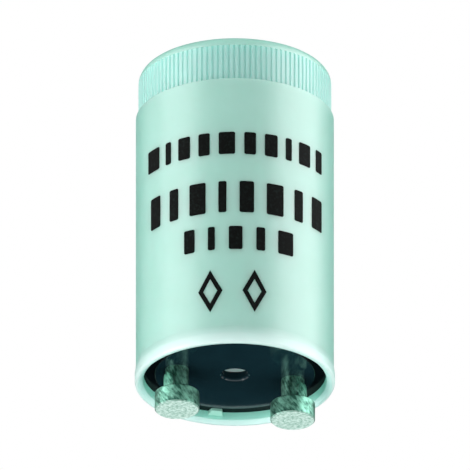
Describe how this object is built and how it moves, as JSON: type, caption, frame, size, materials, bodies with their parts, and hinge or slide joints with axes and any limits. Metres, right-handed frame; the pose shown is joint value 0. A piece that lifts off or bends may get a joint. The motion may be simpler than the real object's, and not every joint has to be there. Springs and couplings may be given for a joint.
{
  "type": "fluorescent lamp starter",
  "caption": "Cylindrical glow starter: a moulded can with a fluted grip band, closed by a round base plate with headed contact pins.",
  "frame": {"origin": "on the can's axis, level with the ends of the contact pins, so that the part stands on its pins", "axes": "+Z along the can's axis towards the closed end, +X through the right contact pin, +Y towards the bulb's side; both tabs lie on the Y axis"},
  "size_m": [0.0216, 0.0216, 0.0403],
  "materials": {
    "can": "glossy moulded polycarbonate",
    "base_plate": "glossy moulded phenolic",
    "contact_pin": "turned, satin",
    "bulb_glass": "clear",
    "lead_wire": "plated wire",
    "bimetal": "rolled strip",
    "electrode": "drawn rod",
    "capacitor_roll": "wound film",
    "sprayed_metal": "sprayed zinc, matt",
    "solder": "bright solder"
  },
  "bodies": {
    "root": {"can": "can", "base_plate": "base_plate", "contact_pin_left": "contact_pin", "contact_pin_right": "contact_pin", "glow_bulb_glass": "bulb_glass", "lead_in_wire_left": "lead_wire", "lead_in_wire_right": "lead_wire", "bimetal_strip": "bimetal", "fixed_electrode": "electrode", "capacitor_roll": "capacitor_roll", "capacitor_end_left": "sprayed_metal", "capacitor_end_right": "sprayed_metal", "capacitor_lead_left": "lead_wire", "capacitor_lead_right": "lead_wire", "solder_joint_left": "solder", "solder_joint_right": "solder"}
  },
  "joints": []
}
